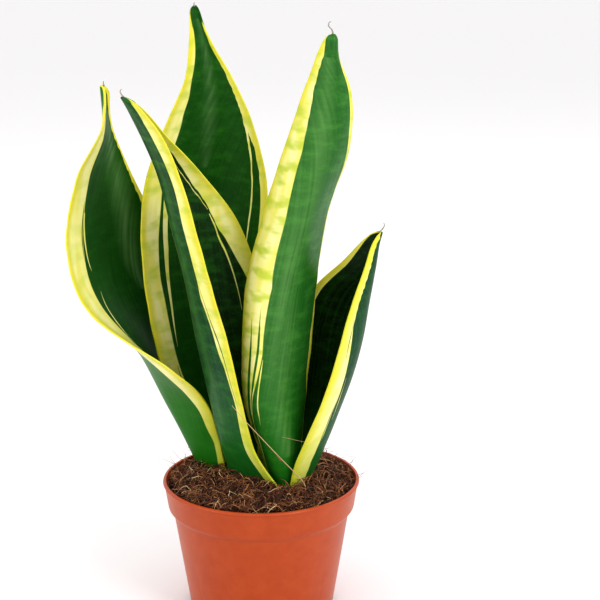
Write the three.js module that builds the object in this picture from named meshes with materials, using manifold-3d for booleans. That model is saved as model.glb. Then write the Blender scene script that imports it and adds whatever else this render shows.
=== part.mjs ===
// A snake plant with yellow-edged leaves, growing in a round nursery pot.
// Millimetres, +Z up. The origin is the centre of the pot's underside.
import * as THREE from "three";
import { mergeVertices } from "three/addons/utils/BufferGeometryUtils.js";
import Module from "manifold-3d";

// ---- Pot: thin injection-moulded plastic with a deep collar and a slim lip ----
const POT_HEIGHT = 80;
const POT_LIP_RADIUS = 60;
const POT_BASE_RADIUS = 44.4;
const POT_WALL = 1.2;
const POT_FLOOR = 1.6;
const LIP_HEIGHT = 1.8;
const LIP_OVERHANG = 0.8;
const LIP_BEAD = 0.8; // height of the bead round the lip
const RIM_INSET = 0.4; // how far the rim stands inside the bead
const COLLAR_HEIGHT = 16.8;
const COLLAR_TAPER = 2.3; // how much narrower the collar is at its foot than under the lip
const COLLAR_STEP = 3.1; // how far the body sits inside the collar's foot
const COLLAR_STEP_HEIGHT = 3.2;
const BASE_CHAMFER = 1.2;
const POT_SIDES = 64;

// ---- Drainage slots cut through the corner between floor and wall ----
const SLOT_COUNT = 8;
const SLOT_WIDTH = 9;
const SLOT_HEIGHT = 4;
const SLOT_DEPTH = 8;

// ---- Growing medium: a peat mix with a mat of coir fibre over it ----
const FIT_GAP = 0.4; // between any two pieces that would otherwise touch
const PEAT_BELOW_RIM = 8; // at the wall
const PEAT_CROWN = 2.5; // rise of the surface from the wall to the middle
const MAT_THICKNESS = 6.2; // at the wall
const MAT_CROWN = 6; // rise of the mat's surface from the wall to the middle
const CROWN_RINGS = 3;

// ---- Leaves ----
const TALLEST_LEAF = 281; // tip above the pot's rim
const ROSETTE_REACH = 60; // radius of the pot that the leaves' plan positions are set out for
const LEAF_RIB_THICKNESS = 3.6;
const LEAF_MARGIN_THICKNESS = 1.1;
const BASE_SWELLING = 1.2; // leaves are thicker where they leave the crown
const FLESHIEST = 0.4; // share of the leaf's length at which it has its full thickness
const TIP_THINNING = 0.6;
const STEPS_PER_SECTION = 3;
const STEPS_ACROSS = 10;

// Each leaf is set out by level sections: height above the pot's rim, then the plan position of
// its left margin, its midrib and its right margin, as seen facing the leaf's inner side.
const LEAVES = [
  {
    name: "leaf_back",
    color: "#1f5a2a",
    sections: [
      { height: -14, left: [-23, 17], rib: [-17, 27], right: [-6, 17] },
      { height: 0, left: [-25, 15], rib: [-19, 28], right: [-6, 15] },
      { height: 24, left: [-35, 15], rib: [-25, 34], right: [-6, 19] },
      { height: 52, left: [-56, 19], rib: [-31, 39], right: [-7, 24] },
      { height: 90, left: [-66, 18], rib: [-34, 45], right: [-4, 28] },
      { height: 135, left: [-71, 20], rib: [-35, 50], right: [1, 31] },
      { height: 175, left: [-69, 26], rib: [-34, 51], right: [3, 35] },
      { height: 210, left: [-57, 34], rib: [-32, 49], right: [-5, 39] },
      { height: 238, left: [-45, 39], rib: [-32, 47], right: [-17, 42] },
      { height: 265, left: [-42, 42], rib: [-35, 45], right: [-32, 43] },
      { height: 281, left: [-42, 43], rib: [-39, 45], right: [-37, 43] },
    ],
  },
  {
    name: "leaf_left",
    color: "#245a2e",
    sections: [
      { height: -14, left: [-20, 10], rib: [-34, 23], right: [-25, 35] },
      { height: 0, left: [-22, 8], rib: [-39, 23], right: [-28, 39] },
      { height: 24, left: [-27, 8], rib: [-50, 23], right: [-34, 43] },
      { height: 48, left: [-34, 0], rib: [-62, 24], right: [-39, 48] },
      { height: 72, left: [-52, -15], rib: [-72, 24], right: [-45, 52] },
      { height: 106, left: [-98, -15], rib: [-85, 29], right: [-53, 55] },
      { height: 142, left: [-112, -6], rib: [-92, 34], right: [-64, 53] },
      { height: 182, left: [-107, 2], rib: [-93, 32], right: [-80, 43] },
      { height: 212, left: [-92, 12], rib: [-92, 26], right: [-89, 33] },
      { height: 236, left: [-90, 20], rib: [-93, 23], right: [-89, 27] },
    ],
  },
  {
    name: "leaf_front_left",
    color: "#1d4f33",
    sections: [
      { height: -14, left: [11, -19], rib: [-13, -1], right: [2, 5] },
      { height: 0, left: [11, -23], rib: [-17, 1], right: [2, 4] },
      { height: 24, left: [-3, -24], rib: [-23, 0], right: [3, 4] },
      { height: 52, left: [-10, -27], rib: [-29, 1], right: [4, 7] },
      { height: 87, left: [-17, -31], rib: [-35, -1], right: [3, 10] },
      { height: 120, left: [-25, -35], rib: [-40, -3], right: [-1, 10] },
      { height: 157, left: [-34, -37], rib: [-48, -9], right: [-13, 6] },
      { height: 187, left: [-42, -39], rib: [-55, -15], right: [-32, -7] },
      { height: 212, left: [-51, -40], rib: [-64, -25], right: [-51, -22] },
      { height: 227, left: [-61, -40], rib: [-70, -32], right: [-62, -30] },
      { height: 236, left: [-70, -38], rib: [-74, -37], right: [-71, -34] },
    ],
  },
  {
    name: "leaf_front",
    color: "#2c6e2e",
    sections: [
      { height: -14, left: [19, -5], rib: [13, -14], right: [5, -4] },
      { height: 0, left: [21, -8], rib: [14, -17], right: [4, -7] },
      { height: 20, left: [24, -8], rib: [12, -21], right: [0, -11] },
      { height: 52, left: [26, -5], rib: [7, -25], right: [-9, -13] },
      { height: 87, left: [30, -5], rib: [8, -28], right: [-10, -15] },
      { height: 127, left: [33, -4], rib: [12, -32], right: [-7, -16] },
      { height: 167, left: [40, -4], rib: [22, -33], right: [3, -17] },
      { height: 207, left: [52, -13], rib: [34, -33], right: [16, -19] },
      { height: 237, left: [52, -18], rib: [39, -29], right: [26, -20] },
      { height: 257, left: [45, -21], rib: [41, -26], right: [33, -21] },
      { height: 269, left: [44, -21], rib: [42, -23], right: [39, -21] },
    ],
  },
  {
    name: "leaf_right",
    color: "#1d5230",
    sections: [
      { height: -14, left: [15, 14], rib: [25, -2], right: [18, -17] },
      { height: 0, left: [16, 16], rib: [28, -1], right: [18, -21] },
      { height: 18, left: [17, 18], rib: [35, -2], right: [22, -25] },
      { height: 42, left: [19, 19], rib: [44, -3], right: [31, -29] },
      { height: 67, left: [21, 18], rib: [52, -5], right: [40, -31] },
      { height: 92, left: [24, 17], rib: [58, -6], right: [47, -30] },
      { height: 117, left: [33, 10], rib: [62, -10], right: [54, -29] },
      { height: 137, left: [49, -7], rib: [66, -15], right: [61, -27] },
      { height: 150, left: [59, -15], rib: [68, -19], right: [65, -25] },
      { height: 157, left: [66, -19], rib: [70, -20], right: [69, -23] },
    ],
  },
];

// ---- Solids: a closed three.js geometry goes in and out of manifold-3d for each cut ----
const wasm = await Module();
wasm.setup();

function toSolid(geometry) {
  const bare = geometry.clone();
  bare.deleteAttribute("normal");
  bare.deleteAttribute("uv");
  const merged = mergeVertices(bare, 1e-4);
  return new wasm.Manifold(
    new wasm.Mesh({
      numProp: 3,
      vertProperties: new Float32Array(merged.attributes.position.array),
      triVerts: new Uint32Array(merged.index.array),
    }),
  );
}

function toGeometry(solid) {
  const mesh = solid.getMesh();
  const geometry = new THREE.BufferGeometry();
  geometry.setAttribute("position", new THREE.BufferAttribute(new Float32Array(mesh.vertProperties), 3));
  geometry.setIndex(new THREE.BufferAttribute(new Uint32Array(mesh.triVerts), 1));
  return geometry;
}

// A profile of [radius, height] points, from axis to axis, turned about +Z.
function turned(profile) {
  const points = profile.map(([radius, height]) => new THREE.Vector2(radius, height));
  return new THREE.LatheGeometry(points, POT_SIDES).rotateX(Math.PI / 2);
}

// ---- Pot ----
const collarFoot = POT_HEIGHT - COLLAR_HEIGHT;
const lipFoot = POT_HEIGHT - LIP_HEIGHT;
const collarTopRadius = POT_LIP_RADIUS - LIP_OVERHANG;
const collarFootRadius = collarTopRadius - COLLAR_TAPER;
const bodyTopRadius = collarFootRadius - COLLAR_STEP;
const bodyTop = collarFoot - COLLAR_STEP_HEIGHT;
const LIP_EDGE = 0.3; // small flats that take the sharpness off the lip

// The inner face of the pot, from the floor to the rim, drawn in by an extra gap.
function innerWall(gap) {
  const inset = POT_WALL + gap;
  return [
    [POT_BASE_RADIUS - inset, POT_FLOOR + gap],
    [bodyTopRadius - inset, bodyTop + POT_WALL],
    [collarFootRadius - inset, collarFoot + POT_WALL],
    [collarTopRadius - inset, POT_HEIGHT],
  ];
}

// Radius of that inner face at one height.
function innerRadius(height, gap) {
  const wall = innerWall(gap);
  const upper = wall.findIndex(([, z]) => z >= height);
  const [r0, z0] = wall[upper - 1];
  const [r1, z1] = wall[upper];
  return r0 + ((r1 - r0) * (height - z0)) / (z1 - z0);
}

function potGeometry() {
  const shell = turned([
    [0, 0],
    [POT_BASE_RADIUS - BASE_CHAMFER, 0],
    [POT_BASE_RADIUS, BASE_CHAMFER],
    [bodyTopRadius, bodyTop],
    [collarFootRadius - LIP_EDGE, collarFoot],
    [collarFootRadius, collarFoot + LIP_EDGE],
    [collarTopRadius, lipFoot],
    [POT_LIP_RADIUS, lipFoot + LIP_EDGE],
    [POT_LIP_RADIUS, lipFoot + LIP_BEAD],
    [POT_LIP_RADIUS - RIM_INSET, lipFoot + LIP_BEAD + RIM_INSET],
    [POT_LIP_RADIUS - RIM_INSET, POT_HEIGHT - LIP_EDGE],
    [POT_LIP_RADIUS - RIM_INSET - LIP_EDGE, POT_HEIGHT],
    ...innerWall(0).reverse(),
    [0, POT_FLOOR],
  ]);
  let pot = toSolid(shell);
  for (let i = 0; i < SLOT_COUNT; i++) {
    const slot = new THREE.BoxGeometry(2 * SLOT_DEPTH, SLOT_WIDTH, 2 * SLOT_HEIGHT);
    slot.translate(POT_BASE_RADIUS, 0, 0);
    slot.rotateZ((2 * Math.PI * i) / SLOT_COUNT);
    pot = pot.subtract(toSolid(slot));
  }
  return toGeometry(pot);
}

// ---- Leaves ----
const tallest = Math.max(...LEAVES.flatMap((leaf) => leaf.sections.map((section) => section.height)));
const rise = TALLEST_LEAF / tallest;
const spread = POT_LIP_RADIUS / ROSETTE_REACH;

// One smooth line up a leaf, through the same point of every section.
function rail(leaf, side) {
  const points = leaf.sections.map((section) => {
    const [x, y] = section[side];
    return new THREE.Vector3(x * spread, y * spread, POT_HEIGHT + section.height * rise);
  });
  return new THREE.CatmullRomCurve3(points, false, "catmullrom", 0.5);
}

// The leaf's middle surface: one row of points per step up the leaf, from left to right margin.
function middleSurface(leaf) {
  const rails = ["left", "rib", "right"].map((side) => rail(leaf, side));
  const steps = STEPS_PER_SECTION * (leaf.sections.length - 1);
  const rows = [];
  for (let i = 0; i <= steps; i++) {
    const [left, rib, right] = rails.map((line) => line.getPoint(i / steps));
    const half = right.clone().sub(left).divideScalar(2);
    const bow = left.clone().add(right).divideScalar(2).sub(rib);
    const row = [];
    for (let j = 0; j <= STEPS_ACROSS; j++) {
      const s = (2 * j) / STEPS_ACROSS - 1;
      row.push(rib.clone().addScaledVector(half, s).addScaledVector(bow, s * s));
    }
    rows.push(row);
  }
  return rows;
}

// Thickness along the leaf against its full size: swollen at the base, full at its fleshiest
// and thin at the tip.
function thicknessScale(t) {
  const { lerp } = THREE.MathUtils;
  if (t < FLESHIEST) return lerp(BASE_SWELLING, 1, t / FLESHIEST);
  return lerp(1, TIP_THINNING, (t - FLESHIEST) / (1 - FLESHIEST));
}

// Difference between the neighbours of one point in a list.
function along(points, i) {
  const before = points[Math.max(i - 1, 0)];
  const after = points[Math.min(i + 1, points.length - 1)];
  return after.clone().sub(before);
}

// A closed leaf: the middle surface thickened to both sides, with an extra allowance all round.
function leafGeometry(leaf, allowance = 0) {
  const rows = middleSurface(leaf);
  const last = rows.length - 1;
  const positions = [];
  for (let i = 0; i <= last; i++) {
    const ring = { inner: [], outer: [] };
    for (let j = 0; j <= STEPS_ACROSS; j++) {
      const s = (2 * j) / STEPS_ACROSS - 1;
      const across = along(rows[i], j);
      const column = rows.map((row) => row[j]);
      const normal = across.clone().cross(along(column, i)).normalize();
      const body = LEAF_MARGIN_THICKNESS + (LEAF_RIB_THICKNESS - LEAF_MARGIN_THICKNESS) * (1 - s * s);
      const half = (body * thicknessScale(i / last)) / 2 + allowance;
      const edge = Math.abs(s) === 1 ? s * allowance : 0;
      const middle = rows[i][j].clone().addScaledVector(across.normalize(), edge);
      if (i === 0) middle.z -= allowance;
      if (i === last) middle.z += allowance;
      ring.inner.push(middle.clone().addScaledVector(normal, half));
      ring.outer.unshift(middle.clone().addScaledVector(normal, -half));
    }
    positions.push(...ring.inner, ...ring.outer);
  }
  const round = 2 * (STEPS_ACROSS + 1);
  const index = [];
  const quad = (a, b, c, d) => index.push(a, b, c, a, c, d);
  for (let i = 0; i < last; i++) {
    for (let k = 0; k < round; k++) {
      const next = (k + 1) % round;
      quad(i * round + next, (i + 1) * round + next, (i + 1) * round + k, i * round + k);
    }
  }
  for (let j = 0; j < STEPS_ACROSS; j++) {
    const across = round - 1 - j;
    quad(across, across - 1, j + 1, j);
    const top = last * round;
    quad(top + j, top + j + 1, top + across - 1, top + across);
  }
  const geometry = new THREE.BufferGeometry();
  geometry.setFromPoints(positions);
  geometry.setIndex(index);
  return geometry;
}

// ---- Growing medium ----
// A filling of the pot between two heights at the wall, with its top raised towards the middle.
function filling(profileBelow, wallHeight, crown) {
  const radius = innerRadius(wallHeight, FIT_GAP);
  const top = [];
  for (let i = 0; i <= CROWN_RINGS; i++) {
    const r = (radius * (CROWN_RINGS - i)) / CROWN_RINGS;
    top.push([r, wallHeight + crown * (1 - (r / radius) ** 2)]);
  }
  return turned([...profileBelow, ...top]);
}

const peatTop = POT_HEIGHT - PEAT_BELOW_RIM;
const matFoot = peatTop + FIT_GAP;
const matTop = matFoot + MAT_THICKNESS;
const leafPockets = LEAVES.map((leaf) => toSolid(leafGeometry(leaf, FIT_GAP)));

function withoutLeaves(geometry) {
  return toGeometry(leafPockets.reduce((solid, pocket) => solid.subtract(pocket), toSolid(geometry)));
}

function peatGeometry() {
  const wallBelow = innerWall(FIT_GAP).filter(([, height]) => height < peatTop);
  return withoutLeaves(filling([[0, POT_FLOOR + FIT_GAP], ...wallBelow], peatTop, PEAT_CROWN));
}

function matGeometry() {
  const radius = innerRadius(matFoot, FIT_GAP);
  const underside = [];
  for (let i = 0; i <= CROWN_RINGS; i++) {
    const r = (radius * i) / CROWN_RINGS;
    underside.push([r, matFoot + PEAT_CROWN * (1 - (r / radius) ** 2)]);
  }
  return withoutLeaves(filling(underside, matTop, MAT_CROWN));
}

// ---- Assembly ----
const group = new THREE.Group();

function addPiece(name, geometry, color, roughness) {
  const material = new THREE.MeshStandardMaterial({ color, roughness, metalness: 0 });
  const mesh = new THREE.Mesh(geometry, material);
  mesh.name = name;
  group.add(mesh);
}

addPiece("pot", potGeometry(), "#c0502c", 0.45);
addPiece("peat_mix", peatGeometry(), "#2a1a12", 1);
addPiece("coir_mat", matGeometry(), "#6b4428", 0.95);
for (const leaf of LEAVES) addPiece(leaf.name, leafGeometry(leaf), leaf.color, 0.4);

export default group;
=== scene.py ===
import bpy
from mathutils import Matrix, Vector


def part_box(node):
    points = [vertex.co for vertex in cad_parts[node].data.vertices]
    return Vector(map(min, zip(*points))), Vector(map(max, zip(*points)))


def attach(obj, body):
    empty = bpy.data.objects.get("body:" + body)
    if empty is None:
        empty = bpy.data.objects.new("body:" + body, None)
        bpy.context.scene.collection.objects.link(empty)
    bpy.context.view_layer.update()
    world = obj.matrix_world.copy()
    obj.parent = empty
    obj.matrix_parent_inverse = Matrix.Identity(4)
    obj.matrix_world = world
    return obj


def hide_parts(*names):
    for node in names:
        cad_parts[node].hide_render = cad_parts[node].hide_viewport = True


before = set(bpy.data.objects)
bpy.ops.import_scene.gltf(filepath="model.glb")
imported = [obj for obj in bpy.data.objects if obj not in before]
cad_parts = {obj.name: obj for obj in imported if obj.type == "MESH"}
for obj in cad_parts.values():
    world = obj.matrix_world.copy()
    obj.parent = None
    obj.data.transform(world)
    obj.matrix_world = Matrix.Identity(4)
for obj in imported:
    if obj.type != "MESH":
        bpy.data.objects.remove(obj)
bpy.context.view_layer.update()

import math
import random

import bmesh
import bpy
import numpy as np
from mathutils import Matrix, Vector, noise

# ---------------------------------------------------------------------------------------------
# The studio: a pale seamless floor under a white sky, with soft light from three large boxes.
# The floor is painted board, smooth and nearly white, so the plant stands in its own soft shadow.
# ---------------------------------------------------------------------------------------------
MM = 0.001


def linear(hex_colour):
    """An sRGB hex colour as the linear RGBA that shaders take."""
    channels = [int(hex_colour[i : i + 2], 16) / 255 for i in (1, 3, 5)]
    return [c / 12.92 if c <= 0.04045 else ((c + 0.055) / 1.055) ** 2.4 for c in channels] + [1.0]


def node(material, kind, settings=None, inputs=None):
    """Adds a shader node. Settings are its own properties. An input is a value or another node's output."""
    new = material.node_tree.nodes.new("ShaderNode" + kind)
    for name, value in (settings or {}).items():
        setattr(new, name, value)
    for name, value in (inputs or {}).items():
        if isinstance(value, bpy.types.NodeSocket):
            material.node_tree.links.new(value, new.inputs[name])
        else:
            new.inputs[name].default_value = value
    return new


def new_material(name):
    """An empty node material, with its Principled shader and the shader's sockets ready to set."""
    material = bpy.data.materials.new(name)
    material.use_nodes = True
    return material, material.node_tree.nodes["Principled BSDF"].inputs


def plain_object():
    """Leaves nothing selected before a new piece is made."""
    bpy.ops.object.select_all(action="DESELECT")


def pressed(piece, kind, **settings):
    """Adds a modifier to a piece and applies it."""
    modifier = piece.modifiers.new(kind.title(), kind)
    for name, value in settings.items():
        setattr(modifier, name, value)
    bpy.context.view_layer.objects.active = piece
    bpy.ops.object.modifier_apply(modifier=modifier.name)


plain_object()
FLOOR_SIZE = 40.0
bpy.ops.mesh.primitive_plane_add(size=FLOOR_SIZE, location=(0, 0, 0))
floor = bpy.context.object
floor.name = "studio_floor"
board, shader = new_material("painted board")
shader["Base Color"].default_value = linear("#ebe9ea")
shader["Roughness"].default_value = 0.55
floor.data.materials.append(board)

world = bpy.data.worlds.new("studio")
world.use_nodes = True
world.node_tree.nodes["Background"].inputs["Color"].default_value = linear("#ffffff")
world.node_tree.nodes["Background"].inputs["Strength"].default_value = 0.92
bpy.context.scene.world = world
bpy.context.scene.view_settings.view_transform = "Standard"
bpy.context.scene.view_settings.look = "Medium High Contrast"

# Soft boxes: where each hangs, how wide it is, and its power in watts. Each faces the leaves.
SOFT_BOXES = {
    "box_left": ((-1.2, -0.6, 1.0), 0.5, 3.4),
    "box_right": ((1.0, -1.1, 1.1), 0.6, 9.0),
    "box_behind": ((0.3, 1.3, 1.7), 1.0, 5.0),
}
LIT_POINT = Vector((0, 0, 0.16))
for name, (place, width, power) in SOFT_BOXES.items():
    aim = (LIT_POINT - Vector(place)).to_track_quat("-Z", "Y").to_euler()
    bpy.ops.object.light_add(type="AREA", location=place, rotation=aim)
    bpy.context.object.name = name
    bpy.context.object.data.size = width
    bpy.context.object.data.energy = power

CAMERA_PLACE = (23.7 * MM, -863.4 * MM, 411.7 * MM)
CAMERA_PITCH = 14.3  # degrees below level
bpy.ops.object.camera_add(location=CAMERA_PLACE, rotation=(math.radians(90 - CAMERA_PITCH), 0, 0))
camera = bpy.context.object
camera.data.lens = 90
bpy.context.scene.camera = camera

# ---------------------------------------------------------------------------------------------
# Nursery pot: terracotta-coloured polypropylene, injection moulded in one shot with a slim lip,
# a deep stacking collar and drainage slots at the corner of floor and wall.
# ---------------------------------------------------------------------------------------------
pot_low, pot_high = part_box("pot")
POT_HEIGHT = pot_high[2]
LIP_RADIUS = pot_high[0]
BASE_RADIUS = 44.4 * MM
POT_WALL = 1.2 * MM
POT_FLOOR = 1.6 * MM
LIP_FOOT_HEIGHT = POT_HEIGHT - 1.8 * MM
RIM_RADIUS = LIP_RADIUS - 0.4 * MM
COLLAR_TOP = LIP_RADIUS - 0.8 * MM
COLLAR_FOOT = COLLAR_TOP - 2.3 * MM
COLLAR_FOOT_HEIGHT = POT_HEIGHT - 16.8 * MM
BODY_TOP = COLLAR_FOOT - 3.1 * MM
BODY_TOP_HEIGHT = COLLAR_FOOT_HEIGHT - 3.2 * MM
BASE_CHAMFER = 1.2 * MM
SLOTS = 8
SLOT_CUTTER = (16 * MM, 9 * MM, 8 * MM)  # through the wall, around it, and twice the slot's height
ROUND = 160  # sides of the pot and its filling


def inner_wall(gap):
    """Radius and height up the pot's inner face, drawn in by a gap."""
    inset = POT_WALL + gap
    return [
        (BASE_RADIUS - inset, POT_FLOOR + gap),
        (BODY_TOP - inset, BODY_TOP_HEIGHT + POT_WALL),
        (COLLAR_FOOT - inset, COLLAR_FOOT_HEIGHT + POT_WALL),
        (COLLAR_TOP - inset, POT_HEIGHT),
    ]


def grow_rings(start, profile):
    """From a disc, extrudes ring after ring to each (radius, height) of a profile."""
    bpy.ops.mesh.primitive_circle_add(vertices=ROUND, radius=start[0], fill_type="NGON", location=(0, 0, 0))
    piece = bpy.context.object
    bpy.ops.object.mode_set(mode="EDIT")
    bpy.ops.transform.translate(value=(0, 0, start[1]))
    radius, height = start
    for next_radius, next_height in profile:
        bpy.ops.mesh.extrude_region_move(TRANSFORM_OT_translate={"value": (0, 0, next_height - height)})
        scale = next_radius / radius
        bpy.ops.transform.resize(value=(scale, scale, 1), center_override=(0, 0, next_height))
        radius, height = next_radius, next_height
    bpy.ops.mesh.select_all(action="SELECT")
    bpy.ops.mesh.normals_make_consistent(inside=False)
    bpy.ops.object.mode_set(mode="OBJECT")
    bpy.ops.object.transform_apply(location=True, rotation=True, scale=True)
    return piece


plain_object()
pot = grow_rings(
    (BASE_RADIUS - BASE_CHAMFER, 0.0),
    [
        (BASE_RADIUS, BASE_CHAMFER),
        (BODY_TOP - 0.2 * MM, BODY_TOP_HEIGHT - 1 * MM),
        (BODY_TOP + 0.3 * MM, BODY_TOP_HEIGHT + 0.3 * MM),
        (COLLAR_FOOT - 0.7 * MM, COLLAR_FOOT_HEIGHT - 0.7 * MM),
        (COLLAR_FOOT - 0.2 * MM, COLLAR_FOOT_HEIGHT),
        (COLLAR_FOOT + 0.1 * MM, COLLAR_FOOT_HEIGHT + 1 * MM),
        (COLLAR_TOP, LIP_FOOT_HEIGHT),
        (LIP_RADIUS, LIP_FOOT_HEIGHT + 0.3 * MM),
        (LIP_RADIUS, LIP_FOOT_HEIGHT + 0.8 * MM),
        (RIM_RADIUS, LIP_FOOT_HEIGHT + 1.2 * MM),
        (RIM_RADIUS, POT_HEIGHT),
        *reversed(inner_wall(0)),
    ],
)
pot.name = "nursery_pot"

plain_object()
cutters = []
for i in range(SLOTS):
    angle = 2 * math.pi * i / SLOTS
    place = (BASE_RADIUS * math.cos(angle), BASE_RADIUS * math.sin(angle), 0)
    bpy.ops.mesh.primitive_cube_add(size=1, location=place, rotation=(0, 0, angle), scale=SLOT_CUTTER)
    cutters.append(bpy.context.object)
for cutter in cutters:
    cutter.select_set(True)
bpy.ops.object.join()
slot_cutter = bpy.context.object
pressed(slot_cutter, "BEVEL", width=0.6 * MM, segments=2)
pressed(pot, "BOOLEAN", object=slot_cutter, operation="DIFFERENCE", solver="EXACT")
bpy.data.objects.remove(slot_cutter)
pressed(pot, "BEVEL", width=0.3 * MM, segments=3, limit_method="ANGLE", angle_limit=math.radians(30))
plain_object()
pot.select_set(True)
bpy.context.view_layer.objects.active = pot
bpy.ops.object.shade_smooth_by_angle(angle=math.radians(40))

# Polypropylene out of a polished mould: a satin skin with faint flow marks in its colour.
plastic, shader = new_material("moulded polypropylene, terracotta coloured")
place = node(plastic, "TexCoord").outputs["Object"]
FLOW_MARK = 9 * MM
streaks = {"Vector": place, "Scale": 1 / FLOW_MARK, "Detail": 3.0, "Roughness": 0.6}
flow = node(plastic, "TexNoise", inputs=streaks)
tone = node(
    plastic,
    "MapRange",
    inputs={"Value": flow.outputs["Fac"], "From Min": 0.3, "From Max": 0.7, "To Min": 0.0, "To Max": 1.0},
)
shades = node(
    plastic,
    "Mix",
    settings={"data_type": "RGBA"},
    inputs={"Factor": tone.outputs["Result"], "A": linear("#ad4518"), "B": linear("#b64e20")},
)
plastic.node_tree.links.new(shades.outputs["Result"], shader["Base Color"])
shader["Roughness"].default_value = 0.36
shader["Specular IOR Level"].default_value = 0.3
GRAIN = 0.5 * MM
grain = node(plastic, "TexNoise", inputs={"Vector": place, "Scale": 1 / GRAIN, "Detail": 2.0})
skin = node(plastic, "Bump", inputs={"Strength": 0.12, "Distance": 0.05 * MM, "Height": grain.outputs["Fac"]})
plastic.node_tree.links.new(skin.outputs["Normal"], shader["Normal"])
pot.data.materials.append(plastic)
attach(pot, "root")
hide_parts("pot")

# ---------------------------------------------------------------------------------------------
# Peat mix: damp, dark, crumbly peat pressed into the pot, its surface a little raised in the middle.
# It is one body of filling with loose crumbs lying over it.
# ---------------------------------------------------------------------------------------------
FIT_GAP = 0.4 * MM
peat_low, peat_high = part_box("peat_mix")
PEAT_EDGE_HEIGHT = POT_HEIGHT - 8 * MM
PEAT_LUMP = 0.9 * MM
CRUMBS = 620


def wall_radius(height, gap):
    """Radius of the pot's inner face at one height, drawn in by a gap."""
    steps = inner_wall(gap)
    return float(np.interp(height, [z for _, z in steps], [r for r, _ in steps]))


peat_edge = wall_radius(PEAT_EDGE_HEIGHT, FIT_GAP)
RINGS = 40
surface = []
for i in range(1, RINGS):
    share = 1 - i / RINGS
    surface.append((peat_edge * share, PEAT_EDGE_HEIGHT + (peat_high[2] - PEAT_EDGE_HEIGHT) * (1 - share**2)))
walls = [(r, z) for r, z in inner_wall(FIT_GAP)[1:] if z < PEAT_EDGE_HEIGHT]
plain_object()
peat = grow_rings(inner_wall(FIT_GAP)[0], [*walls, (peat_edge, PEAT_EDGE_HEIGHT), *surface])
peat.name = "peat_filling"
for vertex in peat.data.vertices:
    flat = math.hypot(vertex.co.x, vertex.co.y)
    if vertex.co.z > PEAT_EDGE_HEIGHT - 0.1 * MM and flat < peat_edge - 0.5 * MM:
        lump = noise.fractal(vertex.co / (5 * MM), 0.8, 2.1, 4)
        vertex.co.z += min(lump, 0.6) * PEAT_LUMP

rng = random.Random(11)
plain_object()
bpy.ops.mesh.primitive_ico_sphere_add(subdivisions=1, radius=1.0)
crumb = bpy.context.object
crumb_mesh = crumb.data.copy()
bpy.data.objects.remove(crumb)
loose = bmesh.new()
for i in range(CRUMBS):
    size = rng.uniform(0.5, 1.6) * MM
    reach = (peat_edge - 1.5 * MM) * math.sqrt(rng.random())
    angle = rng.uniform(0, 2 * math.pi)
    share = reach / peat_edge
    height = PEAT_EDGE_HEIGHT + (peat_high[2] - PEAT_EDGE_HEIGHT) * (1 - share**2) + rng.uniform(0, 2.2) * MM
    shape = Matrix.Translation((reach * math.cos(angle), reach * math.sin(angle), height))
    shape @= Matrix.Rotation(rng.uniform(0, 6.28), 4, Vector((rng.random(), rng.random(), 1)).normalized())
    shape @= Matrix.Diagonal((size, size * rng.uniform(0.6, 1), size * rng.uniform(0.4, 0.8), 1))
    piece = crumb_mesh.copy()
    piece.transform(shape)
    loose.from_mesh(piece)
    bpy.data.meshes.remove(piece)
for vertex in loose.verts:
    vertex.co += noise.noise_vector(vertex.co / (0.9 * MM)) * 0.22 * MM
crumbs = bpy.data.objects.new("peat_crumbs", bpy.data.meshes.new("peat_crumbs"))
loose.to_mesh(crumbs.data)
loose.free()
bpy.context.collection.objects.link(crumbs)

# Damp peat: nearly black, matt, with browner bits of bark in it.
peat_soil, shader = new_material("damp peat crumb")
place = node(peat_soil, "TexCoord").outputs["Object"]
bits = node(peat_soil, "TexNoise", inputs={"Vector": place, "Scale": 1 / (2.5 * MM), "Detail": 6.0})
shades = node(peat_soil, "ValToRGB", inputs={"Fac": bits.outputs["Fac"]})
shades.color_ramp.elements[0].position = 0.35
shades.color_ramp.elements[0].color = linear("#120b08")
shades.color_ramp.elements[1].position = 0.7
shades.color_ramp.elements[1].color = linear("#3d2617")
peat_soil.node_tree.links.new(shades.outputs["Color"], shader["Base Color"])
shader["Roughness"].default_value = 0.9
rough = node(peat_soil, "Bump", inputs={"Strength": 0.6, "Distance": 0.5 * MM, "Height": bits.outputs["Fac"]})
peat_soil.node_tree.links.new(rough.outputs["Normal"], shader["Normal"])
for piece in (peat, crumbs):
    piece.data.materials.append(peat_soil)
    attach(piece, "root")
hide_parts("peat_mix")

# ---------------------------------------------------------------------------------------------
# Leaves: stiff, fleshy blades that grow from one crown, each a channel that wraps the next one in.
# Green down the middle, with cream-yellow margins, and a dry brown thread at the tip.
# ---------------------------------------------------------------------------------------------
RIB_THICKNESS = 3.6 * MM
MARGIN_THICKNESS = 1.1 * MM
BASE_SWELLING = 1.2  # how much thicker than that the blade is at its base
FULL_FROM = 0.4  # share of the length where the swelling has run out
TIP_THINNING = 0.6
ACROSS = 56  # mesh steps over the blade
ALONG = 200
ROUND_FROM = 0.965  # share of the length where the tip starts to round off
SHEEN_FADE = 1.6  # how far a painted sheen streak fades out, against its half width
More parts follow.
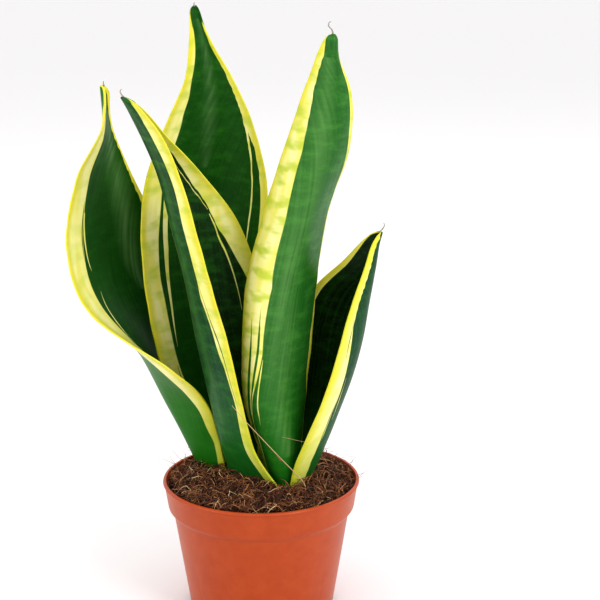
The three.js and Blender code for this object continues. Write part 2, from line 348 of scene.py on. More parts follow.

# Each leaf is given in millimetres. sections: height above the rim, then left margin, midrib and
# right margin in plan, as seen facing its inner side. A band is the yellow margin's width at shares of the
# length. slivers: the side each is measured from, 1 if green or 0 if yellow, then share of the length,
# distance in from that margin and half its width. The sheen entries give a painted sheen, a highlight streak
# along the blade in the same three terms, measured from the margin their side entry names. green and the
# sheen strength are for the inner and outer face, from least, 0, to most, 1; green is set leaf by leaf and is
# partly painted shade. blotched is how strong the cross bars are, and dry_tip is the route of the dried
# point.
LEAVES = {
    "leaf_back": {
        "sections": [
            (-14, (-23, 17), (-17, 27), (-6, 17)),
            (0, (-25, 15), (-19, 28), (-6, 15)),
            (24, (-35, 15), (-25, 34), (-6, 19)),
            (52, (-56, 19), (-31, 39), (-7, 24)),
            (90, (-66, 18), (-34, 45), (-4, 28)),
            (135, (-71, 20), (-35, 50), (1, 31)),
            (175, (-69, 26), (-34, 51), (3, 35)),
            (210, (-57, 34), (-32, 49), (-5, 39)),
            (238, (-45, 39), (-32, 47), (-17, 42)),
            (265, (-42, 42), (-35, 45), (-32, 43)),
            (281, (-42, 43), (-39, 45), (-37, 43)),
        ],
        "left_band": [(0, 8), (0.3, 12.5), (0.4, 13.8), (0.5, 15.2), (0.57, 15.5), (0.65, 13.5),
                      (0.7, 11.6), (0.75, 9), (0.8, 5.2), (0.87, 3.6), (0.92, 1.8), (1, 0.4)],
        "right_band": [(0, 6), (0.5, 5), (0.6, 5.4), (0.66, 4.7), (0.7, 6.6), (0.75, 4.7), (0.8, 3.3),
                       (0.85, 2.5), (0.9, 1.5), (0.95, 0), (1, -1)],
        "slivers": [
            ("left", 0, [(0.36, 16.8, 0.1), (0.42, 19, 0.9), (0.5, 20.4, 1.9), (0.56, 19.4, 2),
                         (0.64, 15.5, 1)]),
            ("right", 0, [(0.46, 16, 0.1), (0.54, 14, 0.5), (0.62, 9.9, 0.6), (0.66, 7.5, 0.8),
                          (0.71, 5, 1)]),
            ("left", 1, [(0.2, 7.5, 0.1), (0.27, 9.5, 0.5), (0.33, 12, 0.2)]),
        ],
        "green": (0.52, 0.5),
        "blotched": 0.7,
        "painted_sheen_side": "left",
        "painted_sheen": [(0.62, 41, 2), (0.7, 31, 4), (0.8, 17, 3), (0.88, 8.5, 2), (0.95, 4.5, 1)],
        "painted_sheen_strength": (0.5, 0),
        "dry_tip": [(-39, 44, 360.6), (-39.3, 44, 362), (-39, 43.8, 363)],
    },
    "leaf_left": {
        "sections": [
            (-14, (-20, 10), (-34, 23), (-25, 35)),
            (0, (-22, 8), (-39, 23), (-28, 39)),
            (24, (-27, 8), (-50, 23), (-34, 43)),
            (48, (-34, 0), (-62, 24), (-39, 48)),
            (72, (-52, -15), (-72, 24), (-45, 52)),
            (106, (-98, -15), (-85, 29), (-53, 55)),
            (142, (-112, -6), (-92, 34), (-64, 53)),
            (182, (-107, 2), (-93, 32), (-80, 43)),
            (212, (-92, 12), (-92, 26), (-89, 33)),
            (236, (-90, 20), (-93, 23), (-89, 27)),
        ],
        "left_band": [(0, 3.5), (0.2, 3.8), (0.3, 7), (0.4, 12.5), (0.5, 19.5), (0.6, 19.2),
                      (0.7, 17), (0.8, 14.4), (0.86, 12), (0.92, 5), (0.95, 1.2), (1, 0.2)],
        "right_band": [(0, 3), (0.5, 2.5), (0.7, 3), (0.78, 1.8), (0.85, 1.5), (0.93, 1.2), (1, 2)],
        "slivers": [
            ("left", 1, [(0.64, 17.4, 0.1), (0.67, 17, 0.5), (0.71, 16, 0.5), (0.74, 15, 0.1)]),
            ("left", 0, [(0.62, 23, 0.1), (0.65, 21, 0.5), (0.69, 19, 0.8), (0.72, 17, 0.5)]),
            ("left", 0, [(0.47, 18, 0.2), (0.51, 22, 0.7), (0.55, 24.5, 0.5), (0.58, 26.5, 0.1)]),
        ],
        "green": (0.5, 1.0),
        "blotched": 0.3,
        "painted_sheen_side": "left",
        "painted_sheen": [(0.56, 66, 3), (0.62, 61, 6), (0.7, 55, 7), (0.77, 42, 7), (0.85, 23.5, 4), (0.93, 12, 2)],
        "painted_sheen_strength": (0.8, 0.3),
        "dry_tip": [(-91.5, 23, 315.5), (-92, 23, 317.5), (-91.7, 22.6, 318.6)],
    },
    "leaf_front_left": {
        "sections": [
            (-14, (11, -19), (-13, -1), (2, 5)),
            (0, (11, -23), (-17, 1), (2, 4)),
            (24, (-3, -24), (-23, 0), (3, 4)),
            (52, (-10, -27), (-29, 1), (4, 7)),
            (87, (-17, -31), (-35, -1), (3, 10)),
            (120, (-25, -35), (-40, -3), (-1, 10)),
            (157, (-34, -37), (-48, -9), (-13, 6)),
            (187, (-42, -39), (-55, -15), (-32, -7)),
            (212, (-51, -40), (-64, -25), (-51, -22)),
            (227, (-61, -40), (-70, -32), (-62, -30)),
            (236, (-70, -38), (-74, -37), (-71, -34)),
        ],
        "left_band": [(0, 6), (0.2, 6.2), (0.3, 5.2), (0.37, 6.4), (0.43, 9.6), (0.5, 12.6),
                      (0.56, 10.6), (0.6, 9), (0.7, 8.3), (0.8, 7.8), (0.86, 6.6), (0.91, 4.4),
                      (0.96, 2.6), (1, 0)],
        "right_band": [(0, 5), (0.4, 6), (0.5, 7.5), (0.55, 11), (0.6, 13.2), (0.65, 11), (0.7, 9),
                       (0.75, 5.8), (0.8, 3), (0.86, 1.8), (0.93, 1.2), (1, 0)],
        "slivers": [
            ("left", 1, [(0.3, 3.2, 0.1), (0.4, 6, 0.45), (0.47, 9, 0.35), (0.52, 10.8, 0.1)]),
            ("right", 0, [(0.45, 13.5, 0.1), (0.52, 14.6, 0.5), (0.58, 15.6, 0.6), (0.62, 14, 0.4)]),
            ("right", 0, [(0.63, 13.4, 0.2), (0.67, 12.4, 0.4), (0.71, 11.2, 0.3), (0.74, 9.6, 0.1)]),
        ],
        "green": (0.15, 0.16),
        "blotched": 0.75,
        "painted_sheen_side": "left",
        "painted_sheen": [(0.25, 22, 3), (0.5, 22, 4), (0.7, 15, 4), (0.85, 11, 3), (0.97, 5, 1)],
        "painted_sheen_strength": (0, 0.25),
        "dry_tip": [(-73, -37, 316), (-74.4, -37.3, 317.6), (-75, -37.5, 319.4), (-74.2, -37.2, 320.6)],
    },
    "leaf_front": {
        "sections": [
            (-14, (19, -5), (13, -14), (5, -4)),
            (0, (21, -8), (14, -17), (4, -7)),
            (20, (24, -8), (12, -21), (0, -11)),
            (52, (26, -5), (7, -25), (-9, -13)),
            (87, (30, -5), (8, -28), (-10, -15)),
            (127, (33, -4), (12, -32), (-7, -16)),
            (167, (40, -4), (22, -33), (3, -17)),
            (207, (52, -13), (34, -33), (16, -19)),
            (237, (52, -18), (39, -29), (26, -20)),
            (257, (45, -21), (41, -26), (33, -21)),
            (269, (44, -21), (42, -23), (39, -21)),
        ],
        "left_band": [(0, 2), (0.3, 1), (0.36, 2.4), (0.42, 2.6), (0.5, 0.8), (0.62, 0.8),
                      (0.68, 3.2), (0.72, 4), (0.85, 3.6), (0.9, 1.4), (0.94, -0.5), (1, -1)],
        "right_band": [(0, 4), (0.2, 6), (0.27, 8), (0.33, 13), (0.4, 18.4), (0.5, 22.8), (0.6, 20.6),
                       (0.7, 15.2), (0.75, 11.8), (0.8, 8.8), (0.85, 6.6), (0.9, 5.4), (0.95, 2.8),
                       (1, -0.5)],
        "slivers": [
            ("right", 1, [(0.29, 8.6, 0.2), (0.34, 12.4, 0.8), (0.4, 15.8, 0.7), (0.44, 17.6, 0.4),
                          (0.47, 18.6, 0.1)]),
            ("right", 1, [(0.2, 4, 0.6), (0.28, 6.5, 1.3), (0.36, 9.5, 1.2), (0.41, 10.8, 0.8),
                          (0.45, 11.4, 0.1)]),
            ("right", 0, [(0.27, 13, 0.1), (0.32, 15.2, 0.5), (0.37, 17.6, 0.4), (0.39, 18.6, 0.1)]),
        ],
        "green": (0.5, 0.72),
        "blotched": 1.0,
        "painted_sheen_side": "right",
        "painted_sheen": [(0.2, 22, 4), (0.3, 27, 6), (0.45, 30, 9), (0.6, 29, 9), (0.7, 24, 7), (0.8, 16, 4),
                  (0.9, 8, 2)],
        "painted_sheen_strength": (0, 0.5),
        "dry_tip": [(42, -22, 349), (41.4, -22, 351.6), (39.6, -22.2, 353.4), (39.8, -22.4, 355.6),
                    (41, -22.4, 356)],
    },
    "leaf_right": {
        "sections": [
            (-14, (15, 14), (25, -2), (18, -17)),
            (0, (16, 16), (28, -1), (18, -21)),
            (18, (17, 18), (35, -2), (22, -25)),
            (42, (19, 19), (44, -3), (31, -29)),
            (67, (21, 18), (52, -5), (40, -31)),
            (92, (24, 17), (58, -6), (47, -30)),
            (117, (33, 10), (62, -10), (54, -29)),
            (137, (49, -7), (66, -15), (61, -27)),
            (150, (59, -15), (68, -19), (65, -25)),
            (157, (66, -19), (70, -20), (69, -23)),
        ],
        "left_band": [(0, 3), (0.55, 3.5), (0.63, 4.5), (0.7, 5), (0.76, 4.4), (0.82, 2.8),
                      (0.9, 1.6), (1, 0.5)],
        "right_band": [(0, 11), (0.2, 12), (0.3, 13.6), (0.4, 12.4), (0.5, 9), (0.6, 5.8), (0.7, 5.2),
                       (0.8, 4.2), (0.88, 3.4), (0.95, 3), (1, 1)],
        "slivers": [
            ("right", 1, [(0.2, 12, 0.1), (0.28, 13, 0.4), (0.36, 12, 0.3), (0.42, 10.6, 0.1)]),
            ("right", 1, [(0.5, 7.6, 0.1), (0.56, 5.8, 0.3), (0.62, 4.6, 0.1)]),
            ("right", 0, [(0.34, 16, 0.1), (0.4, 14.6, 0.3), (0.46, 12.6, 0.1)]),
        ],
        "green": (0.0, 0.15),
        "blotched": 0.3,
        "painted_sheen_side": "left",
        "painted_sheen": [(0.15, 26, 3), (0.3, 22, 5), (0.5, 20, 6), (0.7, 13, 4), (0.85, 8, 2), (0.95, 5, 1)],
        "painted_sheen_strength": (0, 0.6),
        "dry_tip": [(69, -21, 237), (70.6, -21, 238.6), (72, -21, 240.8), (71.6, -21, 242.6)],
    },
}
SLIVERS = 3


def smooth_line(points, share):
    """The point at a share of the way along a smooth line through evenly counted points."""
    points = np.asarray(points, float)
    points = np.vstack([2 * points[0] - points[1], points, 2 * points[-1] - points[-2]])
    stretch = share * (len(points) - 3)
    i = min(int(stretch), len(points) - 4)
    w = stretch - i
    a, b, c, d = points[i : i + 4]
    return 0.5 * (2 * b + (c - a) * w + (2 * a - 5 * b + 4 * c - d) * w**2 + (3 * b - a - 3 * c + d) * w**3)


def thickness_scale(share):
    """Thickness along the leaf against its full size."""
    return float(np.interp(share, [0, FULL_FROM, 1], [BASE_SWELLING, 1, TIP_THINNING]))


def at_share(table, share, column=1):
    """One column of a table, read at a share of the leaf's length."""
    return float(np.interp(share, [row[0] for row in table], [row[column] for row in table]))


def leaf_blade(name, leaf, seed, skins):
    """A grid shaped to the leaf's middle surface, then thickened, with its markings and painted sheen as
    attributes.
    """
    plain_object()
    bpy.ops.mesh.primitive_grid_add(x_subdivisions=ACROSS, y_subdivisions=ALONG, size=1)
    blade = bpy.context.object
    blade.name = name + "_blade"
    rails = [
        [(*(mm * MM for mm in section[side]), POT_HEIGHT + section[0] * MM) for section in leaf["sections"]]
        for side in (1, 2, 3)
    ]
    rows = []
    for i in range(ALONG + 1):
        left, rib, right = (smooth_line(rail, i / ALONG) for rail in rails)
        s = np.linspace(-1, 1, ACROSS + 1)[:, None]
        rows.append(rib + s * (right - left) / 2 + s**2 * ((left + right) / 2 - rib))
        # The tip is blunt but rounded: the last few rows draw in to the midrib.
        past = max(0.0, (i / ALONG - ROUND_FROM) / (1 - ROUND_FROM))
        rows[-1] = rib + (rows[-1] - rib) * math.sqrt(max(0.0, 1 - past**2.4) + 0.03)
    rows = np.array(rows)
    steps = np.linalg.norm(np.diff(rows, axis=1), axis=2)
    from_left = np.concatenate([np.zeros((ALONG + 1, 1)), np.cumsum(steps, axis=1)], axis=1)
    from_right = from_left[:, -1:] - from_left
    rib_steps = np.linalg.norm(np.diff(rows[:, ACROSS // 2], axis=0), axis=1)
    up_leaf = np.concatenate([[0], np.cumsum(rib_steps)])
    normals = np.cross(np.gradient(rows, axis=1), np.gradient(rows, axis=0))
    normals /= np.linalg.norm(normals, axis=2, keepdims=True) + 1e-12

    flesh = blade.vertex_groups.new(name="flesh")
    blade_mm, band_mm, marks, painted_sheen, slivers = [], [], [], [], [[] for _ in range(SLIVERS)]
    for vertex in blade.data.vertices:
        j = round((vertex.co.x + 0.5) * ACROSS)
        i = round((vertex.co.y + 0.5) * ALONG)
        share = i / ALONG
        s = 2 * j / ACROSS - 1
        left, right = from_left[i, j] / MM, from_right[i, j] / MM
        # A living blade is never quite even: broad swells over the face and slight waves along the margins.
        swell = noise.noise(Vector((left / 22, up_leaf[i] / MM / 45, seed * 7.3))) * 0.45
        wave = noise.noise(Vector((math.copysign(5, s), up_leaf[i] / MM / 14, seed * 3.1))) * 0.5 * s**4
        vertex.co = Vector(rows[i, j]) + Vector(normals[i, j]) * (swell + wave) * MM * min(1, share * 12)
        thickness = MARGIN_THICKNESS + (RIB_THICKNESS - MARGIN_THICKNESS) * (1 - s * s)
        thickness *= thickness_scale(share) / (RIB_THICKNESS * BASE_SWELLING)
        flesh.add([vertex.index], thickness, "REPLACE")
        inside = min(left - at_share(leaf["left_band"], share), right - at_share(leaf["right_band"], share))
        blade_mm.append((left, up_leaf[i] / MM, seed * 11.0))
        band_mm.append((inside, min(left, right), leaf["painted_sheen_strength"][0]))
        marks.append((share, leaf["blotched"], leaf["painted_sheen_strength"][1]))
        from_edge = {"left": left, "right": right}
        # Painted sheen: a highlight streak laid along the blade, full on its line and fading out to the
        # sides. The same attribute carries the leaf's green tones.
        off_streak = abs(from_edge[leaf["painted_sheen_side"]] - at_share(leaf["painted_sheen"], share))
        off_streak /= at_share(leaf["painted_sheen"], share, 2)
        in_streak = leaf["painted_sheen"][0][0] < share < leaf["painted_sheen"][-1][0]
        painted_sheen.append((max(0.0, 1 - off_streak / SHEEN_FADE) if in_streak else 0.0, *leaf["green"]))
        for k, (side, kind, stretch) in enumerate(leaf["slivers"]):
            distance = from_edge[side] - at_share(stretch, share)
            on_leaf = stretch[0][0] <= share <= stretch[-1][0]
            slivers[k].append((distance, at_share(stretch, share, 2) if on_leaf else -1, kind))
    named = {"blade_mm": blade_mm, "band_mm": band_mm, "marks": marks, "painted_sheen": painted_sheen}
    named.update({f"sliver_{k}": rows_of_sliver for k, rows_of_sliver in enumerate(slivers)})
    for title, values in named.items():
        attribute = blade.data.attributes.new(title, "FLOAT_VECTOR", "POINT")
        attribute.data.foreach_set("vector", np.array(values, "f").ravel())
    for skin in skins:
        blade.data.materials.append(skin)
    pressed(
        blade,
        "SOLIDIFY",
        thickness=RIB_THICKNESS * BASE_SWELLING,
        offset=0,
        vertex_group="flesh",
        use_rim=True,
        material_offset=1,
        material_offset_rim=0,
    )
    pressed(blade, "BEVEL", width=0.4 * MM, segments=2, limit_method="ANGLE", angle_limit=math.radians(60))
    for polygon in blade.data.polygons:
        polygon.use_smooth = True
    return blade


def thread(points, radii, sides=6):
    """A thin round strand through points, closed at both ends, as lists of vertices and faces."""
    vertices, faces = [], []
    points = [Vector(p) for p in points]
    for i, point in enumerate(points):
        ahead = (points[min(i + 1, len(points) - 1)] - points[max(i - 1, 0)]).normalized()
        across = ahead.orthogonal().normalized()
        other = ahead.cross(across)
        for k in range(sides):
            turn = 2 * math.pi * k / sides
            vertices.append(point + (across * math.cos(turn) + other * math.sin(turn)) * radii[i])
    for i in range(len(points) - 1):
        for k in range(sides):
            nearby = (k + 1) % sides
            faces.append((i * sides + k, i * sides + nearby, (i + 1) * sides + nearby, (i + 1) * sides + k))
    faces.append(tuple(reversed(range(sides))))
    faces.append(tuple(range((len(points) - 1) * sides, len(points) * sides)))
    return vertices, faces


# Patterns in the skin. Each is noise of a size across, along and between leaves, in millimetres, with its
# detail and roughness, the noise values where it starts and is full, and the two strengths it runs between.
PATTERNS = {
    "wander": ((60, 40, 1), 0, 0.5, (0.2, 0.8), (-0.8, 0.8)),
    "fine wander": ((3, 60, 1), 0, 0.5, (0.2, 0.8), (-0.3, 0.3)),
    "cloud": ((7, 26, 1), 1, 0.5, (0.35, 0.65), (0, 1)),
    "bars": ((16, 7, 1), 2, 0.45, (0.42, 0.7), (0, 0.85)),
    "bands": ((14, 6, 1), 4, 0.6, (0.42, 0.74), (0, 0.5)),
    "veins": ((1.2, 90, 1), 2, 0.5, (0.35, 0.75), (0, 0.14)),
    "specks": ((0.8, 1.7, 1), 2, 0.5, (0.56, 0.8), (0, 0.35)),
    "strands": ((2.6, 140, 1), 2, 0.5, (0.3, 0.7), (0.35, 1)),
    "rubs": ((0.5, 1.6, 1), 1, 0.5, (0.79, 0.85), (0, 0.5)),
    "satin": ((1.4, 80, 1), 2, 0.5, (0.3, 0.7), (0.3, 0.44)),
}


def leaf_tissue(name, face, deep, bright, light, painted_sheen_tint):
    """Leaf skin on one side of the blade: green centre between yellow margins, read from the attributes."""
    tissue, shader = new_material(name)
    smooth = {"interpolation_type": "SMOOTHSTEP"}
    vectors, parts, grain = {}, {}, {}
    for attribute in ("blade_mm", "band_mm", "marks", "painted_sheen", *(f"sliver_{k}" for k in range(SLIVERS))):
        vectors[attribute] = node(tissue, "Attribute", {"attribute_name": attribute}).outputs["Vector"]
        parts[attribute] = node(tissue, "SeparateXYZ", inputs={"Vector": vectors[attribute]}).outputs
    for label, (size, detail, rough, (start, full), (low, high)) in PATTERNS.items():
        scale = [1 / mm for mm in size]
        stretched = node(tissue, "Mapping", inputs={"Vector": vectors["blade_mm"], "Scale": scale})
        place = stretched.outputs["Vector"]
        look = {"Vector": place, "Scale": 1.0, "Detail": detail, "Roughness": rough}
        value = node(tissue, "TexNoise", inputs=look).outputs["Fac"]
        reach = {"Value": value, "From Min": start, "From Max": full, "To Min": low, "To Max": high}
        grain[label] = node(tissue, "MapRange", smooth, reach).outputs["Result"]
    inside, margin, inner_painted_sheen = parts["band_mm"]
    share, blotched, outer_painted_sheen = parts["marks"]
    streak, *greens = parts["painted_sheen"]

    # The boundary between green and yellow wanders by about a millimetre. Slivers are lens-shaped strips.
    wandered = node(tissue, "Math", {"operation": "ADD"}, {0: inside, 1: grain["wander"]}).outputs[0]
    wandered = node(tissue, "Math", {"operation": "ADD"}, {0: wandered, 1: grain["fine wander"]}).outputs[0]
    reach = {"Value": wandered, "From Min": -0.3, "From Max": 0.3}
    green = node(tissue, "MapRange", smooth, reach).outputs["Result"]
    for k in range(SLIVERS):
        distance, half, kind = parts[f"sliver_{k}"]
        off = node(tissue, "Math", {"operation": "ADD"}, {0: distance, 1: grain["fine wander"]}).outputs[0]
        off = node(tissue, "Math", {"operation": "ABSOLUTE"}, {0: off}).outputs[0]
        depth = node(tissue, "Math", {"operation": "SUBTRACT"}, {0: half, 1: off}).outputs[0]
        reach = {"Value": depth, "From Min": -0.15, "From Max": 0.25}
        cover = node(tissue, "MapRange", smooth, reach).outputs["Result"]
        strip = {"Factor": cover, "A": green, "B": kind}
        green = node(tissue, "Mix", {"data_type": "FLOAT"}, strip).outputs["Result"]

    near = {"Value": margin, "From Min": 6.5, "From Max": 0.5, "To Max": 0.85}
    edge = node(tissue, "MapRange", smooth, near).outputs["Result"]
    # Low on the blade the yellow turns olive, painted shade of the crowded base, and the green turns
    # brighter.
    near = {"Value": share, "From Min": 0.42, "From Max": 0.12, "To Max": 0.55}
    foot = node(tissue, "MapRange", smooth, near).outputs["Result"]
    times = {"operation": "MULTIPLY", "use_clamp": True}
    bars = node(tissue, "Math", times, {0: grain["bars"], 1: blotched}).outputs[0]
    bands = node(tissue, "Math", times, {0: grain["bands"], 1: blotched}).outputs[0]
    # Painted sheen: a grey-green highlight in strands along the streak, as strong as this face's setting.
    painted_sheen_tinted = node(tissue, "Math", times, {0: grain["strands"], 1: streak}).outputs[0]
    painted_sheen_tinted = node(tissue, "Math", times, {0: painted_sheen_tinted, 1: (inner_painted_sheen, outer_painted_sheen)[face]}).outputs[0]
    # Yellow: cream inside, deeper towards the margin, soft olive bars, and olive low on the blade as painted
    # shade of the crowded base.
    # Green: fuzzy lighter cross bands, vein lines, specks, brighter low on the blade, then painted sheen
    # streaks over it.
    yellow, middle = linear("#f7f2a6"), linear(deep)
    for factor, colour in (
        (grain["cloud"], "#eee87a"), (edge, "#e0d62e"), (bars, "#bccd3e"), (foot, "#b0c134"),
    ):
        layer = {"Factor": factor, "A": yellow, "B": linear(colour)}
        yellow = node(tissue, "Mix", {"data_type": "RGBA"}, layer).outputs["Result"]
    # The first layer lifts the green by the leaf's tone for this face, set leaf by leaf and partly painted
    # shade, lower on leaves that stand in shade.
    for factor, colour in (
        (greens[face], bright), (bands, light), (grain["veins"], light), (grain["specks"], light),
        (foot, "#1c7410"), (painted_sheen_tinted, painted_sheen_tint),
    ):
        layer = {"Factor": factor, "A": middle, "B": linear(colour)}
        middle = node(tissue, "Mix", {"data_type": "RGBA"}, layer).outputs["Result"]
    both = node(tissue, "Mix", {"data_type": "RGBA"}, {"Factor": green, "A": yellow, "B": middle})
    layer = {"Factor": grain["rubs"], "A": both.outputs["Result"], "B": linear("#c9d6b8")}
    rubbed = node(tissue, "Mix", {"data_type": "RGBA"}, layer)
    tissue.node_tree.links.new(rubbed.outputs["Result"], shader["Base Color"])

    relief = node(tissue, "Bump", inputs={"Strength": 0.3, "Distance": 0.1 * MM, "Height": grain["strands"]})
    tissue.node_tree.links.new(relief.outputs["Normal"], shader["Normal"])
    tissue.node_tree.links.new(grain["satin"], shader["Roughness"])
    shader["Specular IOR Level"].default_value = 0.13
    return tissue


# The inner face is glossy and very dark, the outer face a bluer green. Both carry grey-green painted sheen
# streaks along the blade.
inner_skin = leaf_tissue("leaf skin, inner face", 0, "#011303", "#1b620f", "#387f24", "#5f8552")
outer_skin = leaf_tissue("leaf skin, outer face with painted sheen", 1, "#0e352b", "#2b6c1c", "#4d903a", "#6c9b58")

dry, shader = new_material("dried leaf tissue")
place = node(dry, "TexCoord").outputs["Object"]
ageing = node(dry, "TexNoise", inputs={"Vector": place, "Scale": 1 / (0.8 * MM), "Detail": 3.0})
shades = node(
    dry,
    "Mix",
    settings={"data_type": "RGBA"},
    inputs={"Factor": ageing.outputs["Fac"], "A": linear("#b8afa3"), "B": linear("#76675a")},
)
dry.node_tree.links.new(shades.outputs["Result"], shader["Base Color"])
shader["Roughness"].default_value = 0.8

DRY_RADIUS = 0.5 * MM
DRY_STEPS = 10
DRY_SLOT = 2  # place of the dry tissue among a leaf's materials
for seed, (name, leaf) in enumerate(LEAVES.items(), start=1):
    blade = leaf_blade(name, leaf, seed, (inner_skin, outer_skin, dry))
    waypoints = [Vector(p) * MM for p in leaf["dry_tip"]]
    route = [smooth_line(waypoints, i / DRY_STEPS) for i in range(DRY_STEPS + 1)]
    radii = [DRY_RADIUS * (1 - 0.6 * i / DRY_STEPS) for i in range(DRY_STEPS + 1)]
    tip = bpy.data.meshes.new(name + "_dry_tip")
    vertices, faces = thread(route, radii, 8)
    tip.from_pydata(vertices, [], faces)
    for polygon in tip.polygons:
        polygon.material_index = DRY_SLOT
        polygon.use_smooth = True
    joined = bmesh.new()
    joined.from_mesh(blade.data)
    joined.from_mesh(tip)
    joined.to_mesh(blade.data)
    joined.free()
    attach(blade, "root")
    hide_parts(name)

# ---------------------------------------------------------------------------------------------
# Coir mat: curled brown fibres of coconut husk, matted in a loose layer over the peat.
# Each fibre is its own strand, and a few stand up over the rim.
# ---------------------------------------------------------------------------------------------
mat_low, mat_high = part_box("coir_mat")
MAT_CROWN = 6 * MM  # rise of the mat's surface from the wall to the middle
MAT_EDGE_HEIGHT = mat_high[2] - MAT_CROWN
MAT_LOOSE = 0.9 * MM  # how far the loose fibres stand above the matted ones
MAT_LUMP = 1.4 * MM
FELT_DEPTH = 5 * MM  # how far below the surface the felt lies
FELT_LUMP = 0.9 * MM
mat_edge = wall_radius(MAT_EDGE_HEIGHT, FIT_GAP)
FIBRES = 3400
FIBRE_STEPS = 9
FIBRE_STRIDES = (1.1, 1.6, 2.2, 2.8, 3.4)  # millimetres to a step
FIBRE_DEEPEST = -6 * MM  # against the mat's surface
FIBRE_HIGHEST = 2.6 * MM
PALE_SHARE = 0.07


def mat_height(x, y):
    """Height of the mat's surface: low at the wall, high in the middle, and lumpy."""
    share = min(1, math.hypot(x, y) / mat_edge)
    lump = noise.fractal(Vector((x, y, 0.3)) / (9 * MM), 0.9, 2.1, 3)
    crown = (mat_high[2] - MAT_EDGE_HEIGHT) * (1 - share**2)
    return MAT_EDGE_HEIGHT + MAT_LOOSE + crown + lump * MAT_LUMP


def ground_section(leaf, count=24):
    """Plan points along the leaf's middle where it passes through the mat."""
    _, left, rib, right = leaf["sections"][1]
    left, rib, right = (np.array(p, float) * MM for p in (left, rib, right))
    s = np.linspace(-1, 1, count)[:, None]
    return rib + s * (right - left) / 2 + s**2 * ((left + right) / 2 - rib)


leaf_feet = np.vstack([ground_section(leaf) for leaf in LEAVES.values()])
KEEP_OFF = 2.0 * MM  # clearance of a fibre from a leaf's middle surface


def free_of_leaves(x, y):
    """Whether a plan point is clear of every leaf."""
    return np.hypot(leaf_feet[:, 0] - x, leaf_feet[:, 1] - y).min() > KEEP_OFF


rng = random.Random(5)
vertices, faces, tones = [], [], []


def lay_fibre(route, radius, tone):
    """Adds one strand, thinner at its ends, with one tone all over."""
    last = len(route) - 1
    radii = [radius * (0.45 + 0.55 * math.sin(math.pi * (i + 0.5) / (last + 1))) for i in range(last + 1)]
    strand, sides = thread(route, radii, 3)
    start = len(vertices)
    vertices.extend(strand)
    faces.extend(tuple(start + k for k in face) for face in sides)
    tones.extend([tone] * len(strand))


for i in range(FIBRES):
    reach = (mat_edge - 0.6 * MM) * math.sqrt(rng.random())
    angle = rng.uniform(0, 2 * math.pi)
    x, y = reach * math.cos(angle), reach * math.sin(angle)
    depth = -abs(rng.gauss(0, 2.3)) * MM
    heading, pitch = rng.uniform(0, 2 * math.pi), rng.gauss(0, 0.5)
    turn, tilt = rng.gauss(0, 0.22), rng.gauss(0, 0.16)
    stride = rng.choice(FIBRE_STRIDES) * MM
    route = []
    for k in range(FIBRE_STEPS + 1):
        if math.hypot(x, y) > mat_edge - 0.3 * MM or not free_of_leaves(x, y):
            break
        route.append((x, y, mat_height(x, y) + depth))
        heading += turn + rng.gauss(0, 0.3)
        # A fibre that dives turns up again, and one that rises droops.
        pitch = max(-1.1, min(1.1, pitch + tilt + rng.gauss(0, 0.25) - 0.18 * depth / MM - 0.22))
        x += math.cos(heading) * math.cos(pitch) * stride
        y += math.sin(heading) * math.cos(pitch) * stride
        depth = max(FIBRE_DEEPEST, min(FIBRE_HIGHEST, depth + math.sin(pitch) * stride))
    if len(route) > 3:
        pale = rng.random() < PALE_SHARE
        tone = rng.uniform(0.75, 1) if pale else min(0.8, max(0, rng.gauss(0.41, 0.23)))
        lay_fibre(route, rng.uniform(0.12, 0.34) * MM, tone)
coir_mesh = bpy.data.meshes.new("coir_fibres")
coir_mesh.from_pydata(vertices, [], faces)
fibre_tone = coir_mesh.attributes.new("fibre_tone", "FLOAT", "POINT")
fibre_tone.data.foreach_set("value", tones)
coir = bpy.data.objects.new("coir_fibres", coir_mesh)
bpy.context.collection.objects.link(coir)

# The lowest fibres are matted into a felt; its near-black colour is painted shade of the deep gaps between
# them.
plain_object()
felt_rings = []
for i in range(1, RINGS):
    felt_rings.append((mat_edge * (1 - i / RINGS), MAT_EDGE_HEIGHT))
felt = grow_rings(
    (wall_radius(mat_low[2], FIT_GAP), mat_low[2]), [(mat_edge, MAT_EDGE_HEIGHT - 2.5 * MM), *felt_rings]
)
felt.name = "coir_felt_in_painted_shade"
for vertex in felt.data.vertices:
    if vertex.co.z > mat_low[2] + 0.1 * MM and math.hypot(vertex.co.x, vertex.co.y) < mat_edge - 0.2 * MM:
        lump = noise.fractal(vertex.co / (3 * MM), 0.8, 2.2, 4)
        vertex.co.z = mat_height(vertex.co.x, vertex.co.y) - FELT_DEPTH + lump * FELT_LUMP

# Coir: dry lignin-rich husk fibre, from near black through red-brown to straw, dull with a slight gloss.
husk, shader = new_material("coir husk fibre")
tone = node(husk, "Attribute", settings={"attribute_name": "fibre_tone"}).outputs["Fac"]
shades = node(husk, "ValToRGB", inputs={"Fac": tone})
ramp = shades.color_ramp
ramp.elements[0].position, ramp.elements[0].color = 0.0, linear("#170b06")
ramp.elements[1].position, ramp.elements[1].color = 1.0, linear("#d8ba90")
for position, colour in ((0.25, "#3e1d0f"), (0.5, "#74401f"), (0.75, "#ac764a")):
    ramp.elements.new(position).color = linear(colour)
husk.node_tree.links.new(shades.outputs["Color"], shader["Base Color"])
shader["Roughness"].default_value = 0.7
coir.data.materials.append(husk)

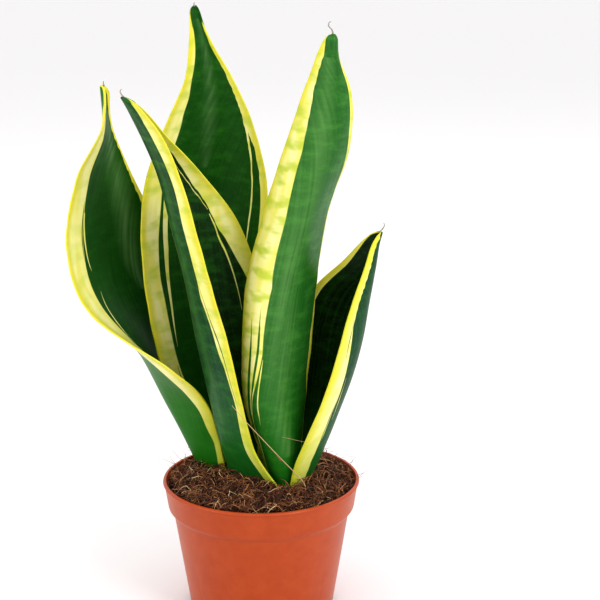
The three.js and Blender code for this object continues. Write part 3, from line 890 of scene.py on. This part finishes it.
# The felt's near-black colour is painted shade of the deep gaps between fibres.
felt_in_painted_shade, shader = new_material("matted coir felt in painted shade")
place = node(felt_in_painted_shade, "TexCoord").outputs["Object"]
STRAND = 1.2 * MM
tangle = {"Vector": place, "Scale": 1 / STRAND, "Detail": 5.0, "Distortion": 2.0}
matting = node(felt_in_painted_shade, "TexNoise", inputs=tangle)
shades = node(felt_in_painted_shade, "ValToRGB", inputs={"Fac": matting.outputs["Fac"]})
shades.color_ramp.elements[0].position = 0.38
shades.color_ramp.elements[0].color = linear("#0e0704")
shades.color_ramp.elements[1].position = 0.72
shades.color_ramp.elements[1].color = linear("#2a160b")
felt_in_painted_shade.node_tree.links.new(shades.outputs["Color"], shader["Base Color"])
rough = node(felt_in_painted_shade, "Bump", inputs={"Strength": 0.8, "Distance": 0.6 * MM, "Height": matting.outputs["Fac"]})
felt_in_painted_shade.node_tree.links.new(rough.outputs["Normal"], shader["Normal"])
shader["Roughness"].default_value = 0.9
felt.data.materials.append(felt_in_painted_shade)
for piece in (coir, felt):
    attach(piece, "root")
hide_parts("coir_mat")

# ---------------------------------------------------------------------------------------------
# Loose straws and hairs: stray dry fibres that stand clear of the mat.
# One long straw leans across the front leaves, with a knot in it.
# ---------------------------------------------------------------------------------------------
vertices, faces, tones = [], [], []
LONG_STRAW = [(-16, -31, 136), (-7, -31, 125), (2, -30, 114.5), (11, -29, 104), (19, -28, 95),
              (25, -27.5, 88), (27, -28, 84), (27, -30, 80.5)]
SIDE_STRAW = [(13, -29, 116), (20, -30, 114.6), (28, -32, 113.5)]
KNOT = [(10, -29.4, 104), (11.5, -30.6, 103), (12.4, -30.8, 101.6)]
for points, radius, tone in ((LONG_STRAW, 0.32, 0.93), (SIDE_STRAW, 0.16, 0.9), (KNOT, 0.5, 0.6)):
    points = [Vector(p) * MM for p in points]
    lay_fibre([smooth_line(points, i / 24) for i in range(25)], radius * MM, tone)
HAIRS = 150
for i in range(HAIRS):
    angle = rng.choice((rng.gauss(2.75, 0.5), rng.gauss(0.45, 0.5), rng.uniform(0, 6.28)))
    reach = mat_edge * rng.uniform(0.75, 0.97)
    x, y = reach * math.cos(angle), reach * math.sin(angle)
    if not free_of_leaves(x, y):
        continue
    z = mat_height(x, y) - 1 * MM
    heading, climb = rng.uniform(0, 6.28), rng.uniform(0.3, 1.3)
    length = rng.uniform(8, 20) * MM
    route = []
    for k in range(9):
        route.append((x, y, z))
        heading += rng.gauss(0, 0.25)
        climb -= rng.uniform(-0.05, 0.22)
        x += math.cos(heading) * math.cos(climb) * length / 9
        y += math.sin(heading) * math.cos(climb) * length / 9
        z += math.sin(climb) * length / 9
    if math.hypot(x, y) < mat_edge - 1 * MM or z > POT_HEIGHT + 1 * MM:
        lay_fibre(route, rng.uniform(0.09, 0.17) * MM, rng.uniform(0.4, 0.9))
straw_mesh = bpy.data.meshes.new("loose_straws")
straw_mesh.from_pydata(vertices, [], faces)
straw_tone = straw_mesh.attributes.new("fibre_tone", "FLOAT", "POINT")
straw_tone.data.foreach_set("value", tones)
straws = bpy.data.objects.new("loose_straws", straw_mesh)
bpy.context.collection.objects.link(straws)
straws.data.materials.append(husk)
for polygon in straws.data.polygons:
    polygon.use_smooth = True
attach(straws, "root")
